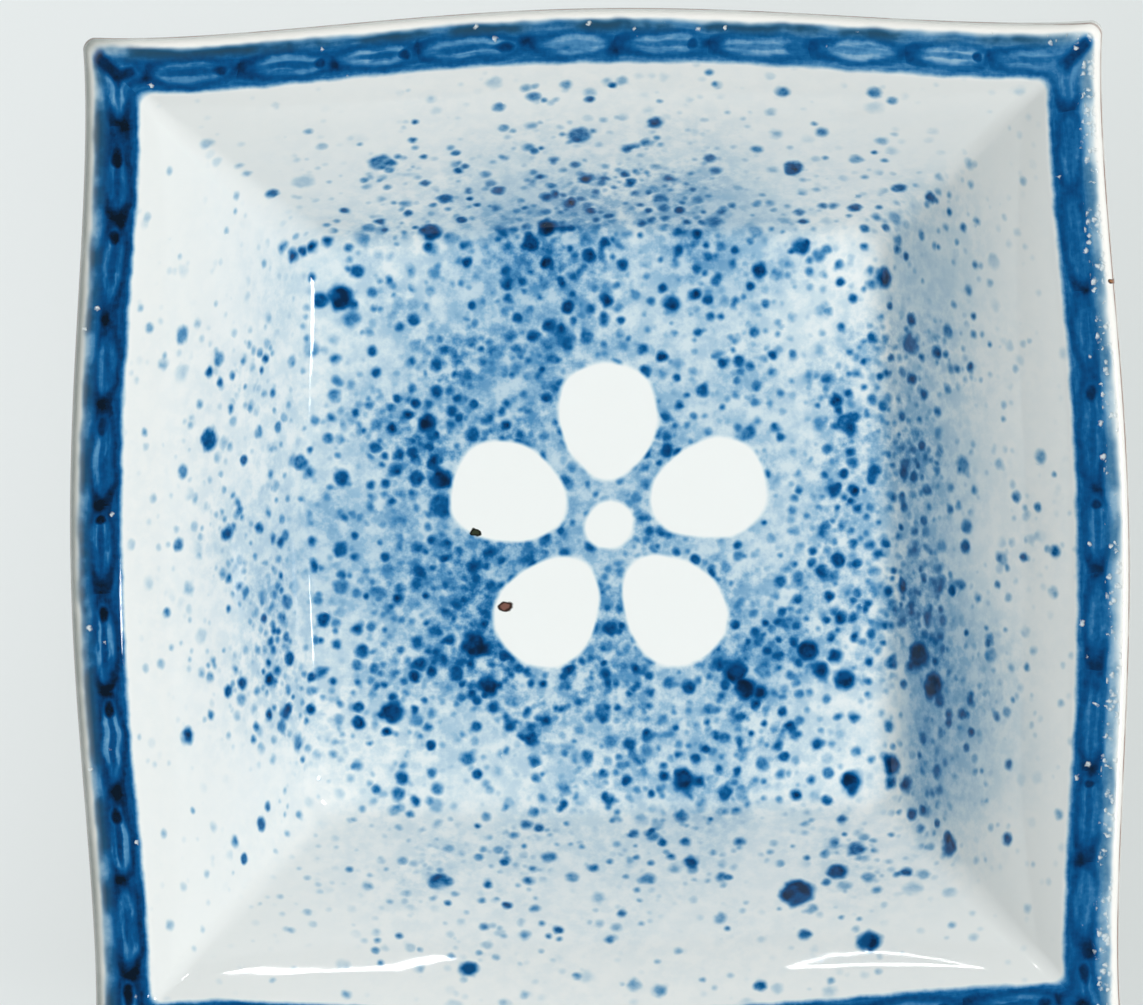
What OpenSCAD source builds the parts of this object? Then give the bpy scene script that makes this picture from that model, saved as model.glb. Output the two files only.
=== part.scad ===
// Square porcelain soy sauce dish: bowed sides, mitred and slightly raised corners, a narrow
// brim with a round lip, and a foot ring that is luted to the underside.
// Millimetres. +Z is up, the dish stands on Z = 0 and the Z axis runs through its middle.

/* [Rim] */
// Width over the lip, across the middle of two opposite sides
rim_w = 95; // [84:1:130]
// How far each side of the rim swells out between its corners
rim_bow = 2; // [0.5:0.1:4]
// How far the tips of the lip turn out at the corners
tip_flare = 0.25; // [0:0.05:0.6]
// How much higher the rim stands at its corners than at mid-side
corner_rise = 2.5; // [0:0.1:5]
// Width of the brim, from the break above the wall to the lip
brim_w = 3.5; // [2:0.1:6]
// Angle at which the brim climbs outwards
brim_angle = 12; // [0:1:24]
// How far the brim stands out past the wall underneath it
brim_overhang = 1.4; // [0.8:0.1:2.4]
// Thickness of the brim and of its round lip
lip_t = 2.2; // [1.4:0.1:3.4]
// Plan radius of the lip's corners
lip_corner_r = 1.6; // [0.8:0.1:4]

/* [Well] */
// Depth from the break at mid-side down to the floor
well_depth = 17; // [11:0.5:23]
// Width of the floor, where the planes of two opposite walls meet it
floor_w = 53; // [40:1:60]
// How far each side of the floor swells out between its corners
floor_bow = 0.6; // [0:0.1:1.5]
// Plan radius of the well's corners at the floor
floor_corner_r = 3; // [2:0.1:8]
// Plan radius of the well's mitred corners at the brim
mitre_r = 1; // [0.6:0.1:4]
// Round in the angle between wall and floor
floor_fillet_r = 4; // [2:0.5:9]
// Round over the break between wall and brim
break_r = 2; // [1:0.1:4]

/* [Body] */
// Thickness of the wall where it leaves the floor
wall_t = 3; // [2:0.1:4.5]
// Thickness of the base under the floor
base_t = 3.6; // [2.4:0.1:6]
// Round where the base turns up into the wall
heel_r = 3; // [1:0.5:6]
// Round in the hollow under the brim
hollow_r = 3.5; // [1:0.1:6]

/* [Foot] */
// Height of the foot ring
foot_h = 5; // [3:0.1:8]
// Width of the strip that stands on the table
foot_t = 2.4; // [1.6:0.1:4]
// How far the foot stands in from the edge of the flat underside
foot_inset = 0.6; // [0.2:0.1:5]
// Draft of the foot's inner and outer faces
foot_draft = 8; // [2:1:15]
// Plan radius of the foot's inside corners, at its root
foot_corner_r = 4; // [1.5:0.5:8]
// Round of slip in the angle between foot and base
foot_fillet_r = 1; // [0.4:0.1:1.6]
// Bevel on both edges of the contact strip
foot_bevel = 0.4; // [0.1:0.1:0.7]

/* [Hidden] */
porcelain = "#eef0ee";
bare_clay = "#e4ddd0";

// Steps of the loft: along a side, round a plan corner and round an arc of the section
side_steps = 12;
corner_steps = 5;
round_steps = 5;
lip_steps = 10;
// How sharply the flare of the tips keeps to the corners
flare_power = 12;
$fn = 64;

// Points where the straight runs of the section meet, at mid-side: [distance out, height]
base_z = foot_h;
floor_z = base_z + base_t;
brim_dir = [cos(brim_angle), sin(brim_angle)];
brim_up = [-sin(brim_angle), cos(brim_angle)];
break_out = rim_w / 2 - lip_t / 2 + lip_t / 2 * brim_up.x - brim_w * brim_dir.x;
break_at = [break_out, floor_z + well_depth];
brim_end = break_at + brim_w * brim_dir;
lip_centre = brim_end - lip_t / 2 * brim_up;
under_lip = brim_end - lip_t * brim_up;
floor_at = [floor_w / 2, floor_z];
wall_dir = unit(break_at - floor_at);
wall_back = floor_at + wall_t * [wall_dir.y, -wall_dir.x];
hollow_at = under_lip - brim_overhang * brim_dir;
heel_at = meet(wall_back, hollow_at - wall_back, [0, base_z], [1, 0]);

// Section of the shell from the underside, round the lip and down to the floor
heel = fillet([0, base_z], heel_at, hollow_at, heel_r);
hollow = fillet(heel_at, hollow_at, under_lip, hollow_r);
lip = [
    for (k = [0 : lip_steps])
        let (a = brim_angle - 90 + 180 * k / lip_steps)
        lip_centre + lip_t / 2 * [cos(a), sin(a)]
];
brim_break = fillet(brim_end, break_at, floor_at, break_r);
floor_round = fillet(break_at, floor_at, [0, floor_z], floor_fillet_r);

// Foot section, from its inner root to its outer root
flat_half = heel[0].x;
foot_lean = foot_h * tan(foot_draft);
fillet_run = foot_fillet_r * tan((90 - foot_draft) / 2);
root_out = flat_half - foot_inset;
contact_out = root_out - fillet_run - foot_lean;
contact_in = contact_out - foot_t;
root_in = contact_in - foot_lean - fillet_run;
// Centre of the foot's corners, to a hundredth, so that they start just where the straight runs end
foot_centre = round((root_in - foot_corner_r) * 100) / 100;
base_corner_r = flat_half - foot_centre;

function unit(v) = v / norm(v);

function blend(a, b, t) = a + (b - a) * t;

// Share of the way from a to b, eased so that it starts and ends level
function eased(x, a, b) =
    let (t = min(1, max(0, (x - a) / (b - a))))
    t * t * (3 - 2 * t);

// Point where the line through p along u crosses the line through q along v
function meet(p, u, q, v) = p + u * cross(q - p, v) / cross(u, v);

// Arc that rounds the corner p between a and b, no longer than half of either run
function fillet(a, p, b, r) =
    let (
        u = unit(a - p),
        v = unit(b - p),
        half_angle = acos(u * v) / 2,
        room = min(norm(a - p), norm(b - p)) / 2,
        run = min(room, r / tan(half_angle)),
        radius = run * tan(half_angle),
        centre = p + unit(u + v) * radius / sin(half_angle),
        from = p + u * run - centre,
        turn = cross(from, p + v * run - centre) > 0 ? 1 : -1,
        sweep = turn * (180 - 2 * half_angle)
    )
    [for (k = [0 : round_steps]) centre + turned(from, sweep * k / round_steps)];

function turned(v, a) = [v.x * cos(a) - v.y * sin(a), v.x * sin(a) + v.y * cos(a)];

// Distance out of a bowed side at s, which runs from -1 to 1 between its corners
function bowed(out, bow, flare, s) =
    out - bow * (1 - cos(180 * s)) / 2 + flare * pow(abs(s), flare_power);

// How fast that distance changes with s
function bow_slope(bow, flare, s) =
    flare * flare_power * sign(s) * pow(abs(s), flare_power - 1) - bow * PI / 2 * sin(180 * s);

// One quarter of a closed outline, clockwise from above: the +Y side and the corner after it.
// Each point is [x, y, share of the corner rise].
function quarter(out, bow, flare, r) =
    let (
        reach = out - bow - r,
        tip = [reach, bowed(out - r, bow, flare, 1)],
        tilt = atan2(bow_slope(bow, flare, 1), reach)
    )
    [
        for (k = [0 : side_steps])
            let (
                s = 2 * k / side_steps - 1,
                facing = unit([-bow_slope(bow, flare, s), reach]),
                p = [s * reach, bowed(out - r, bow, flare, s)] + r * facing
            )
            [p.x, p.y, s * s],
        for (k = [1 : corner_steps - 1])
            let (
                t = k / corner_steps,
                a = blend(90 + tilt, -tilt, t),
                p = blend(tip, [tip.y, tip.x], t) + r * [cos(a), sin(a)]
            )
            [p.x, p.y, 1]
    ];

// One ring of the loft: a whole outline, lifted at its corners
function ring(out, z, bow, flare, r, rise) =
    [
        for (q = [0 : 3], p = quarter(out, bow, flare, r))
            let (xy = turned(p, -90 * q))
            [xy.x, xy.y, z + rise * p.z]
    ];

// Ring at a point of the section's outer face
function outer_ring(p) =
    let (w = eased(p.x, heel_at.x, hollow_at.x))
    ring(
        p.x, p.y, rim_bow * w, flare_at(p.x), blend(base_corner_r, lip_corner_r, w),
        corner_rise * w
    );

// Ring at a point of the section's inner face
function inner_ring(p) =
    let (w = eased(p.x, floor_at.x, break_at.x))
    ring(
        p.x, p.y, blend(floor_bow, rim_bow, w), flare_at(p.x),
        blend(blend(floor_corner_r, mitre_r, w), lip_corner_r, eased(p.x, break_at.x, brim_end.x)),
        corner_rise * w
    );

// The flare belongs to the lip and dies out at the inner edge of the brim
function flare_at(out) = tip_flare * eased(out, break_at.x, rim_w / 2);

// Closed solid through a stack of rings, which starts and ends in a flat face
module loft(rings) {
    count = len(rings[0]);
    points = [for (one = rings) each one];
    last = len(points) - count;
    first_face = [for (j = [count - 1 : -1 : 0]) j];
    last_face = [for (j = [0 : count - 1]) last + j];
    skin = [
        for (i = [0 : len(rings) - 2], j = [0 : count - 1])
            let (
                a = i * count + j,
                b = i * count + (j + 1) % count
            )
            each [[a, b, b + count], [a, b + count, a + count]]
    ];
    polyhedron(points, concat([first_face, last_face], skin), convexity = 6);
}

module dish_body() {
    color(porcelain)
        loft([
            for (p = concat(heel, hollow)) outer_ring(p),
            for (p = lip) p.x > lip_centre.x ? outer_ring(p) : inner_ring(p),
            for (p = concat(brim_break, floor_round)) inner_ring(p)
        ]);
}

module foot_section() {
    inner_root = fillet([0, foot_h], [root_in + fillet_run, foot_h], [contact_in, 0], foot_fillet_r);
    outer_root = fillet([contact_out, 0], [root_out - fillet_run, foot_h], [rim_w, foot_h], foot_fillet_r);
    bevel_lean = foot_bevel * tan(foot_draft);
    polygon(concat(
        inner_root,
        [
            [contact_in - bevel_lean, foot_bevel],
            [contact_in + foot_bevel, 0],
            [contact_out - foot_bevel, 0],
            [contact_out + bevel_lean, foot_bevel]
        ],
        outer_root
    ));
}

module foot_ring() {
    color(bare_clay)
        for (q = [0 : 3])
            rotate(90 * q) {
                rotate([90, 0, 90])
                    linear_extrude(2 * foot_centre, center = true)
                        foot_section();
                translate([foot_centre, foot_centre, 0])
                    rotate_extrude(angle = 90)
                        translate([-foot_centre, 0])
                            foot_section();
            }
}

dish_body();
foot_ring();
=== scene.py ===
import math

import bmesh
import bpy
import numpy as np
from mathutils import Matrix, Quaternion, Vector, noise
from mathutils.bvhtree import BVHTree


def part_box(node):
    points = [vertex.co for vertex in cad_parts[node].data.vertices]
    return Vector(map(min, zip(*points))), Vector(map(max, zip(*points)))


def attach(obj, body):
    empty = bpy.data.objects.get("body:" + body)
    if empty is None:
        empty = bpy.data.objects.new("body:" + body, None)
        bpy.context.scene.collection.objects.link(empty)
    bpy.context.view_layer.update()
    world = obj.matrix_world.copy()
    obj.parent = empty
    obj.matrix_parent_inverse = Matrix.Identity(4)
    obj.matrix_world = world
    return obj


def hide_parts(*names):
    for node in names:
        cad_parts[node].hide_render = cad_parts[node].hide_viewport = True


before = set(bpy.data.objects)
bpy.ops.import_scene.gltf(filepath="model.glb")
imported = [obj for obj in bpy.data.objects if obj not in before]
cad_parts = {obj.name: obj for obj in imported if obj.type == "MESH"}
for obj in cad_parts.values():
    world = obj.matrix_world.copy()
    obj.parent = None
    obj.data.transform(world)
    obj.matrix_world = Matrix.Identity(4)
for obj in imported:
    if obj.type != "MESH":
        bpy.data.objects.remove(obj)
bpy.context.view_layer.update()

# Lengths below are millimetres. +Z is up, +Y points to the photograph's upper edge.
MM = 0.001

# Sizes of the shell and the foot, as in the CAD frame
RIM_W = 95.0
RIM_BOW = 2.0
TIP_FLARE = 0.25
FLARE_POWER = 12
CORNER_RISE = 2.5
BRIM_W = 3.5
BRIM_ANGLE = math.radians(12)
BRIM_OVERHANG = 1.4
LIP_T = 2.2
WELL_DEPTH = 17.0
FLOOR_W = 53.0
FLOOR_BOW = 0.6
FLOOR_CORNER_R = 3.0
MITRE_R = 1.0
BREAK_R = 2.0
WALL_T = 3.0
BASE_T = 3.6
HEEL_R = 3.0
HOLLOW_R = 3.5
FOOT_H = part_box("dish_body")[0].z / MM
FOOT_T = 2.4
FOOT_INSET = 0.6
FOOT_DRAFT = math.radians(8)
FOOT_CORNER_R = 4.0
FOOT_FILLET_R = 1.0
FOOT_BEVEL = 0.4

# Finer form of the shell, a little off the CAD frame: power of the lip's section (2 is round), plan
# radius of its corners, round at the floor, swell of the walls and fullness of the well's sides
LIP_SQUARENESS = 3.2
LIP_CORNER_R = 0.7
FLOOR_FILLET_R = 3.2
WALL_SWELL = 0.4
SIDE_FULLNESS = 0.2

# Steps of the smooth mesh
SIDE_STEPS = 56
CORNER_STEPS = 8
ROUND_STEPS = 10
LIP_STEPS = 20
RUN_STEPS = 14
FLAT_STEPS = 9

# Unevenness of the hand-pressed shell: height of its swells, their breadth, and how much narrower
# than the middle it is at its upper edge, as a share
UNEVEN_BY = 0.02
UNEVEN_SIZE = 13.0
TAPER = 0.008

# Islands of the shell's bake map, as shares of its side
UPPER_ISLAND = 0.76
UNDER_ISLAND = 0.22
ISLAND_GAP = 0.005

# Camera, which looks almost straight down. Its clipping distances are metres.
CAMERA_DISTANCE = 1000.0
CAMERA_LENS = 351.6
CAMERA_SENSOR = 36.0
CAMERA_AIM = (-2.58, 3.32, 25.6)
CAMERA_LEAN = (-0.0224, 0.0888)
CAMERA_ROLL = -0.0161
CAMERA_CLIP = (0.01, 10.0)


def unit(v):
    return v / np.linalg.norm(v)


def eased(x, a, b):
    """Share of the way from a to b, eased so that it starts and ends level."""
    t = np.clip((x - a) / (b - a), 0, 1)
    return t * t * (3 - 2 * t)


def meet(p, u, q, v):
    """Point where the line through p along u crosses the line through q along v."""
    return p + u * np.cross(q - p, v) / np.cross(u, v)


def fillet(a, p, b, r):
    """Arc that rounds the corner p between a and b, no longer than half of either run."""
    u, v = unit(a - p), unit(b - p)
    half = math.acos(u @ v) / 2
    room = min(np.linalg.norm(a - p), np.linalg.norm(b - p)) / 2
    run = min(room, r / math.tan(half))
    radius = run * math.tan(half)
    centre = p + unit(u + v) * radius / math.sin(half)
    start = p + u * run - centre
    turn = math.copysign(math.pi - 2 * half, np.cross(start, p + v * run - centre))
    angles = turn * np.linspace(0, 1, ROUND_STEPS + 1)
    return [centre + turned(start, angle) for angle in angles]


def turned(v, angle):
    c, s = math.cos(angle), math.sin(angle)
    return np.array([v[0] * c - v[1] * s, v[0] * s + v[1] * c])


def squared(share):
    """A sine or cosine that rounds a square more than a circle."""
    return math.copysign(abs(share) ** (2 / LIP_SQUARENESS), share)


# Points where the straight runs of the section meet, at mid-side: distance out and height
FLOOR_Z = FOOT_H + BASE_T
BRIM_DIR = np.array([math.cos(BRIM_ANGLE), math.sin(BRIM_ANGLE)])
BRIM_UP = np.array([-BRIM_DIR[1], BRIM_DIR[0]])
BREAK_OUT = RIM_W / 2 - LIP_T / 2 + LIP_T / 2 * BRIM_UP[0] - BRIM_W * BRIM_DIR[0]
BREAK_AT = np.array([BREAK_OUT, FLOOR_Z + WELL_DEPTH])
BRIM_END = BREAK_AT + BRIM_W * BRIM_DIR
LIP_CENTRE = BRIM_END - LIP_T / 2 * BRIM_UP
UNDER_LIP = BRIM_END - LIP_T * BRIM_UP
FLOOR_AT = np.array([FLOOR_W / 2, FLOOR_Z])
WALL_DIR = unit(BREAK_AT - FLOOR_AT)
WALL_BACK = FLOOR_AT + WALL_T * np.array([WALL_DIR[1], -WALL_DIR[0]])
HOLLOW_AT = UNDER_LIP - BRIM_OVERHANG * BRIM_DIR
BASE_MID = np.array([0.0, FOOT_H])
FLOOR_MID = np.array([0.0, FLOOR_Z])
HEEL_AT = meet(WALL_BACK, HOLLOW_AT - WALL_BACK, BASE_MID, np.array([1.0, 0.0]))

# Rounds of the section, from the underside, round the lip and down to the floor
HEEL = fillet(BASE_MID, HEEL_AT, HOLLOW_AT, HEEL_R)
HOLLOW = fillet(HEEL_AT, HOLLOW_AT, UNDER_LIP, HOLLOW_R)
LIP = [
    LIP_CENTRE + LIP_T / 2 * (squared(math.cos(a)) * BRIM_DIR + squared(math.sin(a)) * BRIM_UP)
    for a in math.pi * np.linspace(-0.5, 0.5, LIP_STEPS + 1)
]
BRIM_BREAK = fillet(BRIM_END, BREAK_AT, FLOOR_AT, BREAK_R)
FLOOR_ROUND = fillet(BREAK_AT, FLOOR_AT, FLOOR_MID, FLOOR_FILLET_R)

# Foot section
FLAT_HALF = HEEL[0][0]
FOOT_LEAN = FOOT_H * math.tan(FOOT_DRAFT)
FILLET_RUN = FOOT_FILLET_R * math.tan((math.pi / 2 - FOOT_DRAFT) / 2)
ROOT_OUT = FLAT_HALF - FOOT_INSET
CONTACT_OUT = ROOT_OUT - FILLET_RUN - FOOT_LEAN
CONTACT_IN = CONTACT_OUT - FOOT_T
ROOT_IN = CONTACT_IN - FOOT_LEAN - FILLET_RUN
FOOT_CENTRE = ROOT_IN - FOOT_CORNER_R
BASE_CORNER_R = FLAT_HALF - FOOT_CENTRE


def bowed(out, bow, flare, s):
    """Distance out of a bowed side at s, which runs from -1 to 1 between its corners."""
    return out - bow * (1 - np.cos(math.pi * s)) / 2 + flare * np.abs(s) ** FLARE_POWER


def bow_slope(bow, flare, s):
    """How fast that distance changes with s."""
    turn_out = flare * FLARE_POWER * np.sign(s) * np.abs(s) ** (FLARE_POWER - 1)
    return turn_out - bow * math.pi / 2 * np.sin(math.pi * s)


def ring(out, z, bow, flare, r, rise):
    """A closed outline, clockwise from above and lifted at its corners."""
    reach = out - bow - r
    s = np.linspace(-1, 1, SIDE_STEPS + 1)
    facing = np.stack([-bow_slope(bow, flare, s), np.full_like(s, reach)], 1)
    facing /= np.linalg.norm(facing, axis=1)[:, None]
    side = np.stack([s * reach, bowed(out - r, bow, flare, s)], 1) + r * facing
    tip = np.array([reach, bowed(out - r, bow, flare, 1.0)])
    tilt = math.atan2(bow_slope(bow, flare, 1.0), reach)
    t = np.arange(1, CORNER_STEPS)[:, None] / CORNER_STEPS
    angle = (math.pi / 2 + tilt) * (1 - t) - tilt * t
    corner = tip * (1 - t) + tip[::-1] * t + r * np.hstack([np.cos(angle), np.sin(angle)])
    quarter = np.vstack([side, corner])
    lift = z + rise * np.concatenate([s * s, np.ones(len(t))])
    x, y = quarter.T
    turns = [(x, y), (y, -x), (-x, -y), (-y, x)]
    return np.vstack([np.stack([a, b, lift], 1) for a, b in turns])


def flare_at(out):
    """The flare belongs to the lip and dies out at the inner edge of the brim."""
    return TIP_FLARE * eased(out, BREAK_AT[0], RIM_W / 2)


def outer_ring(p):
    """Ring at a point of the section's outer face."""
    w = eased(p[0], HEEL_AT[0], HOLLOW_AT[0])
    r = BASE_CORNER_R + (LIP_CORNER_R - BASE_CORNER_R) * w
    return ring(p[0], p[1], RIM_BOW * w, flare_at(p[0]), r, CORNER_RISE * w)


def inner_ring(p):
    """Ring at a point of the section's inner face."""
    w = eased(p[0], FLOOR_AT[0], BREAK_AT[0])
    r = FLOOR_CORNER_R + (MITRE_R - FLOOR_CORNER_R) * w
    r += (LIP_CORNER_R - r) * eased(p[0], BREAK_AT[0], BRIM_END[0])
    bow = FLOOR_BOW + (RIM_BOW - FLOOR_BOW) * w
    by = SIDE_FULLNESS * w * (1 - eased(p[0], BREAK_AT[0], BRIM_END[0]))
    return fuller(ring(p[0], p[1], bow, flare_at(p[0]), r, CORNER_RISE * w), by)


def fuller(one, by):
    """The ring with its sides pushed out between their middles and the corners."""
    s = np.linspace(-1, 1, SIDE_STEPS + 1)
    push = np.concatenate([np.sin(math.pi * s) ** 2, np.zeros(CORNER_STEPS - 1)])
    outward = [(0, 1, 0), (1, 0, 0), (0, -1, 0), (-1, 0, 0)]
    return one + by * np.vstack([np.outer(push, way) for way in outward])


def spread(rings, steps):
    """The first of the rings, and even steps from it towards the second."""
    first, second = rings
    return [first + (second - first) * k / steps for k in range(steps)]


def to_middle(edge, z):
    """Rings from a flat face's edge to its middle."""
    middle = np.array([0.0, 0.0, z])
    shares = [k / FLAT_STEPS for k in range(1, FLAT_STEPS)]
    return [edge + (middle - edge) * share for share in shares]


def shell_rings():
    """Rings from the middle of the underside, round the lip, to the middle of the floor."""
    heel = [outer_ring(p) for p in HEEL]
    hollow = [outer_ring(p) for p in HOLLOW]
    lip = [outer_ring(p) if p[0] > LIP_CENTRE[0] else inner_ring(p) for p in LIP]
    brim_break = [inner_ring(p) for p in BRIM_BREAK]
    floor_round = [inner_ring(p) for p in FLOOR_ROUND]
    under = to_middle(heel[0], FOOT_H)[::-1]
    rings = under + heel[:-1] + spread((heel[-1], hollow[0]), RUN_STEPS) + hollow + lip
    rings += spread((lip[-1], brim_break[0]), RUN_STEPS // 2)[1:] + brim_break[:-1]
    rings += swollen(spread((brim_break[-1], floor_round[0]), 2 * RUN_STEPS)) + floor_round
    rings += to_middle(floor_round[-1], FLOOR_Z)
    return [uneven(one) for one in rings]


def swollen(rings):
    """Rings of the wall, lifted so that its face is slightly full, most of all a third down."""
    shares = np.arange(len(rings)) / len(rings)
    to_one = 27 / 4
    lifts = WALL_SWELL / WALL_DIR[0] * to_one * shares * (1 - shares) ** 2
    return [one + np.array([0, 0, lift]) for one, lift in zip(rings, lifts)]


def uneven(one):
    """The ring with the slight taper and unevenness of a hand-pressed shell."""
    lifts = [UNEVEN_BY * noise.noise(Vector(point) / UNEVEN_SIZE) for point in one]
    x, y, z = one.T
    return np.stack([x * (1 - TAPER * y / (RIM_W / 2)), y, z + lifts], 1)


def section_run(rings):
    """Length along the section at mid-side, counted from the middle of the floor."""
    mid = SIDE_STEPS // 2
    line = np.array([one[mid] for one in rings])[::-1]
    steps = np.linalg.norm(np.diff(line, axis=0), axis=1)
    start = np.linalg.norm(line[0][:2])
    return (start + np.concatenate([[0], np.cumsum(steps)]))[::-1]


def lofted(name, rings, closed):
    """Smooth mesh through a stack of rings. A closed one joins its last ring to its first."""
    count = len(rings[0])
    points = np.vstack(rings)
    faces = []
    for i in range(len(rings) if closed else len(rings) - 1):
        near, far = i * count, (i + 1) % len(rings) * count
        for j in range(count):
            k = (j + 1) % count
            faces.append((near + k, near + j, far + j, far + k))
    if not closed:
        faces.append(tuple(range(count)))
        faces.append(tuple(range(len(points) - 1, len(points) - 1 - count, -1)))
    mesh = bpy.data.meshes.new(name)
    mesh.from_pydata((points * MM).tolist(), [], faces)
    mesh.update()
    face_outward(mesh)
    mesh.shade_smooth()
    piece = bpy.data.objects.new(name, mesh)
    bpy.context.scene.collection.objects.link(piece)
    return piece


def face_outward(mesh):
    """Turns all faces of the mesh outward."""
    body = bmesh.new()
    body.from_mesh(mesh)
    bmesh.ops.recalc_face_normals(body, faces=body.faces)
    body.to_mesh(mesh)
    body.free()


def note_runs(piece, runs, count):
    """Notes on each point of the mesh its length along the section, in millimetres."""
    note = piece.data.attributes.new("run", "FLOAT", "POINT")
    note.data.foreach_set("value", np.repeat(runs, count))


def add_bake_map(piece, rings, runs):
    """Map of two square islands: the painted upper face, and the underside at a smaller scale."""
    count = len(rings[0])
    outs = np.array([one[SIDE_STEPS // 2][1] for one in rings])
    edge = outs.argmax()
    under_runs = runs[0] + outs[0] - runs
    plan = np.array([one[:, :2] / out for one, out in zip(rings, outs)])
    upper = plan * (runs / runs[edge])[:, None, None] * UPPER_ISLAND / 2
    under = plan * (under_runs / under_runs[edge])[:, None, None] * UNDER_ISLAND / 2
    upper += UPPER_ISLAND / 2 + ISLAND_GAP
    under += 1 - UNDER_ISLAND / 2 - ISLAND_GAP
    faces = piece.data.polygons
    belt = np.arange(len(faces)) // count
    belt[-2:] = 0, len(rings)
    below = np.repeat(belt < edge, [len(face.vertices) for face in faces])[:, None]
    index = np.zeros(len(piece.data.loops), int)
    piece.data.loops.foreach_get("vertex_index", index)
    places = np.where(below, under.reshape(-1, 2)[index], upper.reshape(-1, 2)[index])
    piece.data.uv_layers.new(name="OFBake").data.foreach_set("uv", places.ravel())


def top_run(rings, runs, out):
    """Length along the section to where its upper face lies that far out, at mid-side."""
    line = np.array([one[SIDE_STEPS // 2] for one in rings])
    outermost = line[:, 1].argmax()
    return np.interp(out, line[outermost:, 1][::-1], runs[outermost:][::-1])


def on_top(piece, drops):
    """The drops of a plan, laid on the piece as seen from above: their places and radii."""
    body = bmesh.new()
    body.from_mesh(piece.data)
    tree = BVHTree.FromBMesh(body)
    body.free()
    down = Vector((0.0, 0.0, -1.0))
    hits = [tree.ray_cast(Vector((x * MM, y * MM, 1.0)), down)[0] for x, y, _ in drops]
    return [(hit / MM, drop[2]) for hit, drop in zip(hits, drops)]


def foot_section():
    """Section of the foot, from its inner root, over the contact strip, to its outer root."""
    root_in = fillet(np.array([0, FOOT_H]), np.array([ROOT_IN + FILLET_RUN, FOOT_H]),
                     np.array([CONTACT_IN, 0]), FOOT_FILLET_R)
    root_out = fillet(np.array([CONTACT_OUT, 0]), np.array([ROOT_OUT - FILLET_RUN, FOOT_H]),
                      np.array([RIM_W, FOOT_H]), FOOT_FILLET_R)
    lean = FOOT_BEVEL * math.tan(FOOT_DRAFT)
    strip = [
        (CONTACT_IN - lean, FOOT_BEVEL),
        (CONTACT_IN + FOOT_BEVEL, 0),
        (CONTACT_OUT - FOOT_BEVEL, 0),
        (CONTACT_OUT + lean, FOOT_BEVEL),
    ]
    return root_in + strip + root_out


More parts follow.
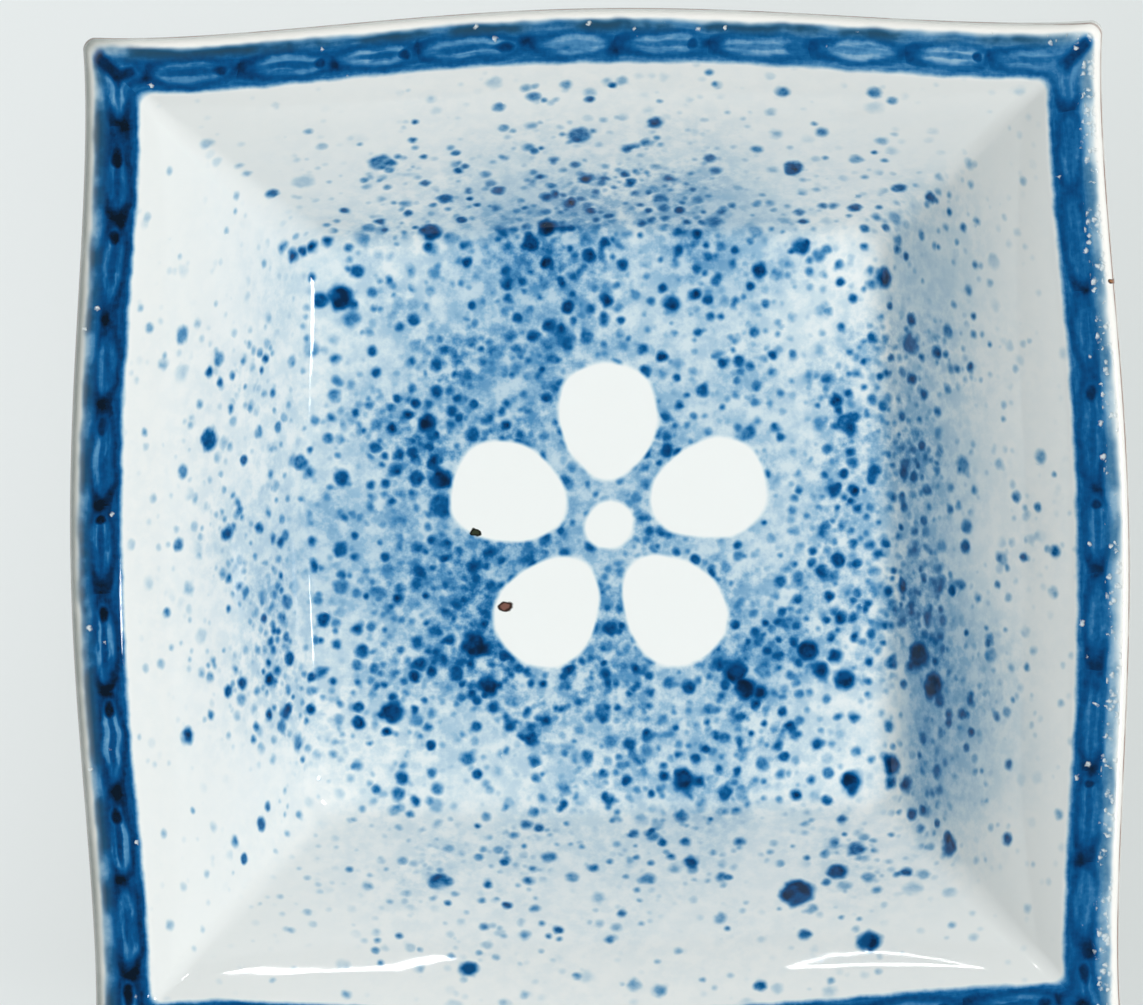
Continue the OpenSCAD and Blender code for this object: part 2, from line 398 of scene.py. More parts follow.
class Paint:
    """Adds nodes to one material, so that a pattern reads like a formula."""

    def __init__(self, name):
        self.material = bpy.data.materials.new(name)
        self.material.use_nodes = True
        self.tree = self.material.node_tree
        self.surface = self.tree.nodes["Principled BSDF"]
        place = self.node("TexCoord").outputs["Object"]
        self.spot = self.scaled(place, 1 / MM)
        self.x, self.y, self.z = self.split(self.spot)

    def node(self, kind, **settings):
        made = self.tree.nodes.new("ShaderNode" + kind)
        for name, value in settings.items():
            setattr(made, name, value)
        return made

    def put(self, socket, value):
        """Links a node's output to the socket, or sets the socket to a plain value."""
        if isinstance(value, bpy.types.NodeSocket):
            self.tree.links.new(value, socket)
        else:
            socket.default_value = value

    def math(self, operation, *values):
        made = self.node("Math", operation=operation)
        for socket, value in zip(made.inputs, values):
            self.put(socket, value)
        return made.outputs[0]

    def folded(self, operation, values):
        """The values joined by an operation, one after the other."""
        total = values[0]
        for value in values[1:]:
            total = self.math(operation, total, value)
        return total

    def add(self, *values):
        return self.folded("ADD", values)

    def times(self, *values):
        return self.folded("MULTIPLY", values)

    def largest(self, *values):
        return self.folded("MAXIMUM", values)

    def minus(self, a, b):
        return self.math("SUBTRACT", a, b)

    def rest(self, share):
        """What the share leaves of 1."""
        return self.minus(1.0, share)

    def blend(self, share, a, b):
        """The number a where share is 0, and b where it is 1."""
        made = self.node("Mix", data_type="FLOAT")
        self.put(made.inputs[0], share)
        self.put(made.inputs[2], a)
        self.put(made.inputs[3], b)
        return made.outputs[0]

    def tint(self, share, a, b):
        """The colour a where share is 0, and b where it is 1."""
        made = self.node("Mix", data_type="RGBA")
        self.put(made.inputs[0], share)
        self.put(made.inputs[6], a)
        self.put(made.inputs[7], b)
        return made.outputs[2]

    def over(self, *inks):
        """Coats of ink laid over each other: they darken, and never pass 1."""
        return self.rest(self.times(*[self.rest(ink) for ink in inks]))

    def step(self, value, start, end, low=0.0, high=1.0):
        """Eased from low, where value is start, to high, where it is end."""
        made = self.node("MapRange", interpolation_type="SMOOTHSTEP")
        for socket, number in zip(made.inputs, (value, start, end, low, high)):
            self.put(socket, number)
        return made.outputs[0]

    def scaled(self, vector, factor):
        made = self.node("VectorMath", operation="SCALE")
        self.put(made.inputs[0], vector)
        self.put(made.inputs["Scale"], factor)
        return made.outputs[0]

    def paired(self, operation, a, b):
        """Outputs of an operation on two vectors."""
        made = self.node("VectorMath", operation=operation)
        self.put(made.inputs[0], a)
        self.put(made.inputs[1], b)
        return made.outputs

    def moved(self, vector, offset):
        return self.paired("ADD", vector, offset)[0]

    def stretched(self, vector, factors):
        return self.paired("MULTIPLY", vector, factors)[0]

    def distance(self, vector, point):
        return self.paired("DISTANCE", vector, point)["Value"]

    def turned(self, vector, angles):
        made = self.node("VectorRotate", rotation_type="EULER_XYZ")
        self.put(made.inputs["Vector"], vector)
        self.put(made.inputs["Rotation"], angles)
        return made.outputs[0]

    def split(self, vector):
        made = self.node("SeparateXYZ")
        self.put(made.inputs[0], vector)
        return made.outputs

    def joined(self, x, y, z):
        made = self.node("CombineXYZ")
        for socket, value in zip(made.inputs, (x, y, z)):
            self.put(socket, value)
        return made.outputs[0]

    def plan(self):
        """The place as seen from above."""
        return self.joined(self.x, self.y, 0.0)

    def noise(self, vector, size, detail=2.0, rough=0.5):
        """Noise about 0.5, whose lumps are about size across."""
        made = self.node("TexNoise")
        self.put(made.inputs["Vector"], vector)
        self.put(made.inputs["Scale"], 1 / size)
        self.put(made.inputs["Detail"], detail)
        self.put(made.inputs["Roughness"], rough)
        return made.outputs[0]

    def swing(self, vector, size, detail=2.0):
        """The same noise about zero."""
        return self.minus(self.noise(vector, size, detail), 0.5)

    def shake(self, vector, size):
        """A noise vector about zero."""
        made = self.node("TexNoise")
        self.put(made.inputs["Vector"], vector)
        self.put(made.inputs["Scale"], 1 / size)
        self.put(made.inputs["Detail"], 1.0)
        return self.moved(made.outputs[1], (-0.5, -0.5, -0.5))

    def wobbled(self, vector, size, amount):
        """The place vector, shaken by noise of that size."""
        return self.moved(vector, self.scaled(self.shake(vector, size), amount))

    def cells(self, vector, size, **settings):
        """Voronoi cells of that size."""
        made = self.node("TexVoronoi", voronoi_dimensions="3D", **settings)
        self.put(made.inputs["Vector"], vector)
        self.put(made.inputs["Scale"], 1 / size)
        return made

    def chance(self, number):
        """Three random numbers that belong to a number."""
        made = self.node("TexWhiteNoise", noise_dimensions="1D")
        self.put(made.inputs["W"], number)
        return made.outputs["Color"]

    def ramp(self, value, stops):
        made = self.node("ValToRGB")
        self.put(made.inputs[0], value)
        marks = made.color_ramp.elements
        while len(marks) < len(stops):
            marks.new(1.0)
        for mark, (place, shade) in zip(marks, stops):
            mark.position = place
            mark.color = colour(shade)
        return made.outputs[0]

    def bump(self, height, depth):
        """Normal of a surface that stands up by height times depth."""
        made = self.node("Bump")
        self.put(made.inputs["Strength"], 1.0)
        self.put(made.inputs["Distance"], depth * MM)
        self.put(made.inputs["Height"], height)
        return made.outputs[0]


def colour(shade, darker=1.0):
    """Linear colour of an sRGB shade in 0 to 255, times a factor."""
    parts = [darker * c / 255 for c in shade]
    lin = [c / 12.92 if c <= 0.04045 else ((c + 0.055) / 1.055) ** 2.4 for c in parts]
    return (*lin, 1.0)


# Cobalt under the glaze, from bare porcelain to a thick blot
COBALT = [
    (0.00, (243, 245, 243)),
    (0.12, (205, 222, 230)),
    (0.28, (150, 187, 212)),
    (0.45, (82, 143, 188)),
    (0.60, (24, 102, 158)),
    (0.68, (3, 85, 142)),
    (0.80, (0, 66, 120)),
    (0.90, (1, 44, 84)),
    (1.00, (3, 20, 38)),
]

# Soft clouds of blown cobalt in plan: x, y, radius and strength, and the most that they add up to
CLOUDS = [
    (-6.0, 23.5, 11.0, 0.35),
    (6.0, 29.5, 12.0, 0.3),
    (-2.0, 31.0, 9.0, 0.25),
    (15.0, 28.0, 11.0, 0.1),
    (30.0, 28.0, 8.0, 0.25),
    (26.5, 8.5, 10.0, 0.55),
    (27.5, 14.0, 8.0, 0.6),
    (24.0, -7.0, 12.0, 0.8),
    (22.5, -6.0, 6.0, 0.4),
    (33.5, -14.0, 7.0, 0.3),
    (30.0, -27.0, 10.0, 0.17),
    (24.0, -21.0, 10.0, 0.25),
    (22.5, -32.0, 5.0, 0.4),
    (13.0, -18.0, 12.0, 0.5),
    (9.0, -21.0, 7.0, 0.28),
    (0.0, -24.0, 7.0, 0.2),
    (-4.0, -17.5, 12.0, 0.4),
    (-17.0, -29.0, 8.0, 0.2),
    (-12.0, -9.5, 13.0, 0.42),
    (-19.0, -11.0, 6.0, 0.2),
    (-16.0, 6.0, 11.0, 0.3),
    (-12.0, 14.0, 11.0, 0.3),
    (-15.5, 26.5, 10.0, 0.5),
    (-27.0, -1.0, 12.0, 0.25),
    (-28.5, 11.0, 11.0, 0.2),
    (-28.0, -12.0, 11.0, 0.35),
    (0.0, 0.0, 44.0, 0.5),
    (0.0, 0.0, 58.0, 0.33),
]
CLOUD_LIMIT = 1.4

# Clumps in the clouds: their size, span of their noise, and shares of drops in thin and dense ones
CLUMP_SIZE = 6.5
CLUMP_SPAN = (0.3, 0.7)
CLUMP_SHARES = (0.6, 1.35)

# Layers of blown drops: size of a cell, which holds one drop at most, least and most radius,
# softness of the edge, least load of ink, share of the cells in use, and ink of a full drop
DROP_LAYERS = [
    (3.2, 0.45, 0.95, 0.38, 0.45, 0.6, 0.92),
    (1.5, 0.3, 0.6, 0.31, 0.28, 1.08, 0.86),
    (1.15, 0.21, 0.44, 0.24, 0.22, 1.08, 0.78),
    (0.8, 0.15, 0.3, 0.24, 0.2, 0.55, 0.42),
]

# Drops: size and push of the noise that takes them out of round, scatter in their cells, fade at thin
# clouds, growth from thin to dense ones, and turn of the grid, so that no face runs along it
SHAKE_SIZE = 1.1
DROP_SHAKE = 0.7
DROP_SCATTER = 0.62
DROP_FADE = 0.07
DROP_GROWTH = (1.16, 1.12)
GRID_TURN = (0.6, 0.45, 0.3)

# Fine grain in the drops: its size, span of its noise, and shares of ink
GRAIN_SIZE = 0.6
GRAIN_SPAN = (0.25, 0.7)
GRAIN_SHARES = (0.76, 1.06)

# Soft haze of the finest spray, in the terms of the clouds, and the most that it adds up to
MISTS = [
    (-12.0, -3.0, 15.0, 0.09),
    (-6.0, 17.0, 13.0, 0.05),
    (-14.0, 14.0, 15.0, 0.05),
    (15.0, -13.0, 8.0, 0.12),
    (9.0, -24.0, 9.0, 0.08),
    (-6.0, 26.0, 11.0, 0.19),
    (11.0, 26.0, 11.0, 0.17),
    # Mists on the right wall, at x from 29.5 to 33, are partly haze and partly painted shade of that
    # wall
    (32.0, -12.0, 9.0, 0.11),
    (29.5, 5.0, 8.0, 0.06),
    (33.0, -20.0, 9.0, 0.12),
    (31.0, 22.0, 8.0, 0.07),
    (-26.0, -3.0, 11.0, 0.1),
    (-25.0, 23.0, 10.0, 0.06),
    (0.0, 0.0, 43.0, 0.2),
]
MIST_LIMIT = 1.0

# Mottle of the haze: its noise and the span of that, ink in the clouds, and shares in the mists
MOTTLE = (1.5, 3.0, 0.6)
MOTTLE_SPAN = (0.32, 0.68)
HAZE_INK = (0.0, 0.25)
MIST_INK = (0.8, 1.2)

# Painted shade at the foot of the right wall, laid on in cobalt: x of its start, darkest part and
# end, y of its far and near end, how far it fades beyond them, and its ink at both
WALL_SHADE_PLACES = (27.2, 28.9, 37.0)
WALL_SHADE_SPAN = (24.0, -24.0)
WALL_SHADE_FADES = (10.0, 9.0)
WALL_SHADE_INK = (0.065, 0.18)

# Drops that stand out, and pools in the corners of the floor: x, y and radius
BIG_DROPS = [
    (-22.9, 20.9, 1.15),
    (-18.9, -17.1, 1.0),
    (-11.2, -11.1, 1.25),
    (-10.0, -14.9, 1.0),
    (22.9, -24.3, 0.95),
    (17.5, -33.3, 1.5),
    (21.3, -31.6, 0.9),
    (29.1, -12.4, 1.2),
    (30.3, -15.0, 1.2),
    (-37.4, -17.5, 0.65),
    (-30.0, -13.4, 0.6),
    (-28.6, -16.6, 0.65),
    (-14.1, 4.1, 1.0),
    (-15.2, 9.3, 0.85),
    (7.6, -23.8, 1.0),
    (12.5, -14.0, 1.1),
    (13.4, -15.5, 1.1),
    (14.7, -15.9, 0.7),
    (19.2, -12.1, 0.95),
    (21.6, -12.7, 0.65),
    (20.3, -14.0, 0.75),
    (22.5, -14.9, 0.95),
    (8.0, -30.8, 0.7),
    (26.6, 21.9, 0.9),
    (-3.9, 27.1, 0.8),
    (-14.7, 26.8, 1.0),
    (-0.5, 31.7, 0.6),
    (5.6, 37.0, 0.65),
    (7.2, 19.7, 0.8),
    (23.7, -37.2, 1.1),
    (-12.5, -39.0, 0.8),
    (-27.2, 24.9, 0.6),
    (-26.3, 25.3, 0.5),
    (-25.4, 25.6, 0.5),
    (-24.0, 26.1, 0.45),
    (26.7, -22.7, 0.9),
    (27.8, -24.4, 0.7),
    (31.5, -29.4, 0.9),
]

# Their softness outside and inside the radius, and size, span and ink of their patches
BIG_DROP_SOFT = (0.4, 0.5)
BIG_DROP_PATCH = 1.1
BIG_DROP_SPAN = (0.35, 0.65)
BIG_DROP_INK = (0.74, 0.93)

# White blossom that a stencil kept free of cobalt: place, petals, their sizes and widening, radius of
# the heart, size and amount of the wobble, edge of a petal as shares, softness of the heart
MOTIF_AT = (1.2, -0.3)
PETALS = 5
PETAL_MIDDLE = 9.5
PETAL_HALF_LENGTH = 5.5
PETAL_HALF_WIDTH = 4.5
PETAL_TAPER = 0.035
HEART_R = 2.3
MOTIF_WOBBLE = (5.0, 0.9)
PETAL_EDGE = (1.06, 0.95)
HEART_SOFT = 0.3

# Lengths beyond and before the band's inner edge between which the spatter starts
SPATTER_EDGE = (0.6, -1.5)


def blown_drops(p, shake, share, layer):
    """Ink of one layer of round drops, some with more ink than others."""
    cell, least, most, soft, least_load, used, full = layer
    place = p.turned(p.moved(p.spot, p.scaled(shake, DROP_SHAKE * most)), GRID_TURN)
    growth = p.blend(share, *DROP_GROWTH)
    many = p.times(share, used)
    inks = []
    for feature in ("F1", "F2"):
        cells = p.cells(place, cell, feature=feature)
        p.put(cells.inputs["Randomness"], DROP_SCATTER)
        away = p.times(cells.outputs["Distance"], cell)
        size, luck, load = p.split(cells.outputs["Color"])
        radius = p.times(p.blend(p.times(size, size), least, most), growth)
        drop = p.step(away, p.add(radius, soft), p.minus(radius, soft))
        there = p.step(luck, p.add(many, DROP_FADE), p.minus(many, DROP_FADE))
        inks.append(p.times(drop, there, p.blend(load, least_load * full, full)))
    return p.largest(*inks)


def clouds(p, places, limit):
    """Sum of soft round clouds, up to a limit."""
    flat = p.plan()
    made = [
        p.step(p.distance(flat, (x, y, 0.0)), radius, 0.0, 0.0, strength)
        for x, y, radius, strength in places
    ]
    return p.math("MINIMUM", p.add(*made), limit)


def length(p, a, b):
    """Length of a vector in the plane."""
    return p.math("SQRT", p.add(p.times(a, a), p.times(b, b)))


def blossom(p):
    """1 inside the white blossom, with the soft edge of a stencil."""
    hand = p.wobbled(p.plan(), *MOTIF_WOBBLE)
    x, y, _ = p.split(p.moved(hand, (-MOTIF_AT[0], -MOTIF_AT[1], 0.0)))
    away = length(p, x, y)
    sector = 2 * math.pi / PETALS
    angle = p.minus(p.math("ARCTAN2", y, x), math.pi / 2)
    turn = p.math("WRAP", angle, sector / 2, -sector / 2)
    along = p.times(away, p.math("COSINE", turn))
    across = p.times(away, p.math("SINE", turn))
    beyond = p.minus(along, PETAL_MIDDLE)
    width = p.add(PETAL_HALF_WIDTH, p.times(beyond, PETAL_TAPER * PETAL_HALF_WIDTH))
    length_share = p.times(beyond, 1 / PETAL_HALF_LENGTH)
    width_share = p.math("DIVIDE", across, width)
    petal = p.step(length(p, length_share, width_share), *PETAL_EDGE)
    heart = p.step(away, HEART_R + HEART_SOFT, HEART_R - HEART_SOFT)
    return p.largest(petal, heart)


def painted_wall_shade(p):
    """Painted shade at the foot of the right wall, laid on as cobalt ink."""
    start, middle, end = WALL_SHADE_PLACES
    far, near = WALL_SHADE_SPAN
    far_fade, near_fade = WALL_SHADE_FADES
    along = p.times(p.step(p.y, far + far_fade, far), p.step(p.y, near - near_fade, near))
    across = p.times(p.step(p.x, start, middle), p.step(p.x, end, middle))
    return p.times(along, across, p.step(p.y, far, near, *WALL_SHADE_INK))


def big_drops(p, shake, places):
    """Ink of the drops that stand out, which lie at these places of the surface."""
    place = p.moved(p.spot, p.scaled(shake, DROP_SHAKE))
    outside, inside = BIG_DROP_SOFT
    drops = [
        p.step(p.distance(place, at), radius + outside, radius - inside) for at, radius in places
    ]
    patchy = p.step(p.noise(p.spot, BIG_DROP_PATCH), *BIG_DROP_SPAN)
    return p.times(p.largest(*drops), p.blend(patchy, *BIG_DROP_INK))


def spatter(p, places):
    """Cobalt blown through a screen: drops of several sizes over a fine haze, and painted shade."""
    clumps = p.step(p.noise(p.spot, CLUMP_SIZE, 0.0), *CLUMP_SPAN, *CLUMP_SHARES)
    share = p.times(clouds(p, CLOUDS, CLOUD_LIMIT), clumps)
    shake = p.shake(p.spot, SHAKE_SIZE)
    drops = p.over(*[blown_drops(p, shake, share, layer) for layer in DROP_LAYERS])
    grain = p.step(p.noise(p.spot, GRAIN_SIZE), *GRAIN_SPAN, *GRAIN_SHARES)
    mottle = p.step(p.noise(p.spot, *MOTTLE), *MOTTLE_SPAN)
    # The mists, with the right wall's painted shade laid on as cobalt
    mist_and_shade = p.add(clouds(p, MISTS, MIST_LIMIT), painted_wall_shade(p))
    haze = p.add(
        p.times(share, p.blend(mottle, *HAZE_INK)),
        p.times(mist_and_shade, p.blend(mottle, *MIST_INK)),
    )
    return p.over(p.times(drops, grain), haze, big_drops(p, shake, places))


# Painted band on the brim: its two edges, as distances out at mid-side, the marks that place the
# paint, and the distances out at which its left and right sides start and are reached
BAND_IN = 42.75
BAND_OUT = 46.6
BAND_MARKS = (BAND_IN, BAND_OUT, RIM_W / 2)
SIDE_REACH = (36.0, 44.0)

# Chain of links: length of a link, its middle across the band, half its width, shift between sides
LINK_LENGTH = 8.5
LINK_MIDDLE = 1.75
LINK_HALF = 1.2
LANE_SHIFT = 31.7

# Hand of the painter: sway of the links' length (size, amount), drift across the band (size, offset
# of the noise), and seed of their random values
LINK_SWAY = (12.0, 0.9)
LINK_DRIFT = 6.0
DRIFT_OFFSET = 7.0
LINK_SEED = 0.37

# Brush streaks: stretch along and across the band, noise, its span, and ink of the chain's ground
STREAK_STRETCH = (0.25, 1.8)
STREAK = (1.0, 3.0, 0.6)
STREAK_SPAN = (0.25, 0.75)
GROUND_INK = (0.58, 0.74)

# Pale filling of a link: edge, shares, hairlines (stretch, offset, size, span, shares), ink, and how
# much paler it is on the left, or darker on the right
PALE_EDGE = (1.0, 0.35)
PALE_SHARES = (0.4, 1.0)
HAIR_STRETCH = 0.3
HAIR_OFFSET = 3.0
HAIR_SIZE = 0.9
HAIR_SPAN = (0.36, 0.58)
HAIR_SHARES = (0.2, 1.0)
PALE_INK = (0.36, 0.5)
PALER_BY = 0.12

# Dark core of a link: half length and half width, edge, shares and ink
CORE_SIZE = (0.6, 0.3)
CORE_EDGE = (1.9, 0.1)
CORE_SHARES = (0.35, 1.0)
CORE_INK = 0.74

# Stroke round a link: place, edge, share and ink
STROKE_AT = 0.95
STROKE_EDGE = (0.75, 0.05)
STROKE_SHARE = 0.75
STROKE_INK = (0.72, 0.88)

# Dark start of a stroke: edge along the link, luck and ink
BRUSH_EDGE = (-0.35, -0.95)
BRUSH_LUCK = (0.1, 0.5)
BRUSH_INK = 0.88

# Dark tail of a link: place, half length and half width, edge, luck and ink
TAIL_AT = 0.62
TAIL_SIZE = (0.16, 0.5)
TAIL_EDGE = (1.5, 0.2)
TAIL_LUCK = (0.2, 0.6)
TAIL_INK = 0.9

# Blots between links: shift across the band, slant, squash, radius, softness, luck and ink
KNOT_SHIFT = (-0.5, 0.8)
KNOT_SLANT = 0.3
KNOT_SQUASH = 0.7
KNOT_R = (0.2, 0.55)
KNOT_SOFT = (0.5, 0.35)
KNOT_LUCK = (0.05, 0.4)
KNOT_INK = 0.95

# Unevenness of the band: swirls (size, push across and along it), fine noise (size, push, ink), shift
# outwards on the left, lumps of the outer edge (size, amount), and soft edges
SWIRL_SIZE = 2.2
SWIRL_ACROSS = 0.5
SWIRL_ALONG = 1.3
FINE_SIZE = 0.5
FINE_ACROSS = 0.1
FINE_INK = 0.2
LEFT_SHIFT = 0.28
LUMP_SIZE = 5.5
LUMP_BY = 1.1
BAND_EDGE_IN = (-0.35, 0.35)
BAND_EDGE_OUT = (0.4, -0.5)

# Washed outer strip: noise and span of its patches, where it starts and is full, inwards from the
# outer edge, and how much sooner it starts on the left and right
PATCH = (5.0, 3.0)
PATCH_SPAN = (0.36, 0.6)
STRIP_FROM = 1.4
STRIP_FULL = 0.4
STRIP_SOONER = 0.3

# Wash: shares and ink between patches, on the far side and on left and right, and in patches, whose
# paler ink on the right is painted sheen. Smear: shares between and in patches, part of it that is
# left on the right under that painted sheen, cover and shade
WASH_SHARES = (0.2, 0.9)
WASH_PATCH_SHARE = 0.9
WASH_INK = (0.45, 0.2)
WASH_PATCH_INK = (0.8, 0.6)
RIGHT_SHEEN_INK = 0.42
SMEAR_SHARES = (0.2, 1.0)
SMEAR_UNDER_RIGHT_SHEEN = 0.45
SMEAR_COVER = 0.75
SMEAR = (40, 74, 88)

# Dark mitres of the band: edges beside the diagonal and across the band, size and span of the noise
# that picks the corners, and ink
MITRE_EDGE = (1.4, 0.3)
MITRE_ACROSS = (0.9, 1.9)
MITRE_PICK = 40.0
MITRE_SPAN = (0.3, 0.5)
MITRE_INK = 0.96

# More ink on the left and less on the far side: where it starts and is full, and how much
HEAVY_LEFT = (25.0, -45.0, 0.0, 0.1)
LIGHT_FAR = (36.0, 42.0, 0.0, 0.11)


def sides(p):
    """1 on the left side of the brim, and 1 on its right side."""
    start, end = SIDE_REACH
    return p.step(p.x, -start, -end), p.step(p.x, start, end)


def lane(p):
    """Length along the band's side, counted on from side to side, and how near a corner is."""
    flat_x, flat_y = p.math("ABSOLUTE", p.x), p.math("ABSOLUTE", p.y)
    across_x = p.math("GREATER_THAN", flat_x, flat_y)
    along = p.blend(across_x, p.x, p.y)
    sign = p.blend(across_x, p.math("SIGN", p.y), p.times(p.math("SIGN", p.x), 2.0))
    to_corner = p.math("ABSOLUTE", p.minus(flat_x, flat_y))
    return p.add(along, p.times(sign, LANE_SHIFT)), to_corner


def knots(p, phase, place, off):
    """Ink of the dark blots where two links of the chain meet."""
    knot = p.math("FLOOR", p.add(phase, 0.5))
    shift, size, load = p.split(p.chance(knot))
    along = p.times(p.rest(p.math("ABSOLUTE", place)), LINK_LENGTH / 2)
    across = p.minus(off, p.blend(shift, *KNOT_SHIFT))
    slant = p.add(along, p.times(across, KNOT_SLANT))
    away = p.math("SQRT", p.add(p.times(slant, slant), p.times(across, across, KNOT_SQUASH)))
    radius = p.blend(size, *KNOT_R)
    outside, inside = KNOT_SOFT
    blot = p.step(away, p.add(radius, outside), p.minus(radius, inside))
    return p.times(blot, p.step(load, *KNOT_LUCK))


def oval(p, along, across, half_length, half_width):
    """Squared distance from the middle of an oval: 1 on its outline."""
    a = p.times(along, 1 / half_length)
    b = p.times(across, 1 / half_width)
    return p.add(p.times(a, a), p.times(b, b))


def link_places(p, along, across):
    """Count of links so far, place along the link from -1 to 1, and distance from its middle line."""
    sway_size, sway_by = LINK_SWAY
    sway = p.swing(p.joined(along, 0.0, 0.0), sway_size)
    phase = p.add(p.times(along, 1 / LINK_LENGTH), p.times(sway, sway_by))
    place = p.minus(p.times(p.math("FRACT", phase), 2.0), 1.0)
    drift = p.swing(p.joined(along, DRIFT_OFFSET, 0.0), LINK_DRIFT)
    return phase, place, p.minus(p.minus(across, LINK_MIDDLE), drift)


def chain(p, along, across, paler):
    """Ink of the painted chain, where across is the length out from the band's inner edge.

    Its links are paler where paler is 1, and darker where it is -1.
    """
    phase, place, off = link_places(p, along, across)
    reach = oval(p, place, off, 1.0, LINK_HALF)
    fill, light, start = p.split(p.chance(p.add(p.math("FLOOR", phase), LINK_SEED)))
    long_way, cross_way = STREAK_STRETCH
    streaks = p.noise(p.joined(p.times(along, long_way), p.times(across, cross_way), 0.0), *STREAK)
    hairs = p.noise(p.joined(p.times(along, HAIR_STRETCH), across, HAIR_OFFSET), HAIR_SIZE)
    stroke = p.step(p.math("ABSOLUTE", p.minus(reach, STROKE_AT)), *STROKE_EDGE)

    ink = p.blend(p.step(streaks, *STREAK_SPAN), *GROUND_INK)
    pale = p.times(
        p.step(reach, *PALE_EDGE),
        p.blend(light, *PALE_SHARES),
        p.step(hairs, *HAIR_SPAN, *HAIR_SHARES),
    )
    ink = p.blend(pale, ink, p.minus(p.blend(streaks, *PALE_INK), p.times(paler, PALER_BY)))
    core = p.step(oval(p, place, off, *CORE_SIZE), *CORE_EDGE)
    ink = p.blend(p.times(core, p.blend(fill, *CORE_SHARES)), ink, CORE_INK)
    ink = p.blend(p.times(stroke, STROKE_SHARE), ink, p.blend(streaks, *STROKE_INK))
    brush = p.times(stroke, p.step(place, *BRUSH_EDGE), p.step(start, *BRUSH_LUCK))
    ink = p.blend(brush, ink, BRUSH_INK)
    tail = p.step(oval(p, p.minus(place, TAIL_AT), off, *TAIL_SIZE), *TAIL_EDGE)
    ink = p.blend(p.times(tail, p.step(fill, *TAIL_LUCK)), ink, TAIL_INK)
    return p.blend(knots(p, phase, place, off), ink, KNOT_INK)


def outer_strip(p, wavy, width, left, right):
    """Share and ink of the wash on the band's outer strip, with painted sheen on the right, and share
    of its smear.
    """
    side = p.add(left, right)
    patchy = p.step(p.noise(p.spot, *PATCH), *PATCH_SPAN)
    start = p.minus(width - STRIP_FROM, p.times(side, STRIP_SOONER))
    strip = p.step(wavy, start, width - STRIP_FULL)
    washed = p.times(strip, p.blend(patchy, p.blend(side, *WASH_SHARES), WASH_PATCH_SHARE))
    # On the right the patches are paler and the smear thinner: painted sheen of the outer brim
    patch_ink = p.blend(right, p.blend(left, *WASH_PATCH_INK), RIGHT_SHEEN_INK)
    ink = p.blend(patchy, p.blend(side, *WASH_INK), patch_ink)
    smear = p.times(strip, p.blend(patchy, *SMEAR_SHARES), p.blend(right, 1.0, SMEAR_UNDER_RIGHT_SHEEN))
    return washed, ink, smear


def band(p, run, start, end):
    """Ink of the band on the brim, its cover, how grey its outer smear is, and the way across it."""
    width = end - start
    along, to_corner = lane(p)
    left, right = sides(p)
    swirl_x, swirl_y, _ = p.split(p.shake(p.spot, SWIRL_SIZE))
    fine = p.swing(p.spot, FINE_SIZE)
    across = p.minus(p.minus(run, start), p.times(left, LEFT_SHIFT))
    wavy = p.add(across, p.times(swirl_x, SWIRL_ACROSS), p.times(fine, FINE_ACROSS))
    along = p.add(along, p.times(swirl_y, SWIRL_ALONG))
    ragged = p.add(wavy, p.times(p.swing(p.spot, LUMP_SIZE), LUMP_BY))
    outer_edge = [width + by for by in BAND_EDGE_OUT]
    cover = p.times(p.step(wavy, *BAND_EDGE_IN), p.step(ragged, *outer_edge))
    washed, wash_ink, smear = outer_strip(p, wavy, width, left, right)
    ink = p.blend(washed, chain(p, along, wavy, p.minus(left, right)), wash_ink)
    mitre = p.times(
        p.step(to_corner, *MITRE_EDGE),
        p.step(across, *MITRE_ACROSS),
        p.step(p.noise(p.spot, MITRE_PICK), *MITRE_SPAN),
    )
    ink = p.blend(mitre, ink, MITRE_INK)
    heavy = p.minus(p.step(p.x, *HEAVY_LEFT), p.step(p.y, *LIGHT_FAR))
    ink = p.add(ink, heavy, p.times(fine, FINE_INK))
    return ink, cover, p.times(smear, p.rest(mitre)), across


# Specks of iron in the glaze: x, y, radius and shade. Then squash, wobble, edge and darker rim
SPECKS = [
    (-8.4, -7.6, 0.55, (128, 88, 78)),
    (-11.0, -0.8, 0.42, (52, 58, 40)),
    (46.1, 22.4, 0.32, (176, 122, 84)),
]
SPECK_SQUASH = (0.8, 1.2, 1.0)
SPECK_WOBBLE = (0.7, 0.5)
SPECK_EDGE = (1.15, 0.85)
SPECK_RIM = (0.45, 0.75)
SPECK_RIM_SHADE = 0.45

# Cream glaze on the lip: its start from the band's outer edge, and its end from the lip's edge
CREAM = (252, 250, 245)
CREAM_START = (-0.1, 0.3)
CREAM_END = (3.0, 1.0)

# Line of iron along the lip: shade, cover, edge, shift inwards on the right, and its wear
IRON = (138, 84, 62)
IRON_COVER = 0.85
IRON_EDGE = (0.26, 0.08)
IRON_SHIFT = 0.6
WEAR = (4.0, 3.0)
WEAR_SPAN = (0.3, 0.6)
WEAR_SHARES = (0.35, 1.0)

# Grey beside it on the left, partly a stain and partly painted shade of the lip's outer side: shade,
# x of its start and full strength, reach and cover
SHADE_STAIN = (176, 181, 175)
SHADE_STAIN_SIDE = (-40.0, -46.0)
SHADE_STAIN_REACH = (2.1, 0.5)
SHADE_STAIN_COVER = (0.6, 1.0)

# Flecks where the glaze over the band is pitted: depth, spacing, radius, flat part, wobble, and the
# shade and cover of their painted sparkle
PIT_DEPTH = 0.08
PIT_CELL = 0.6
PIT_R = 0.34
PIT_FLAT = 0.3
PIT_WOBBLE = (0.4, 0.5)
PIT_SPARKLE = (226, 234, 236)
PIT_SPARKLE_COVER = 0.85

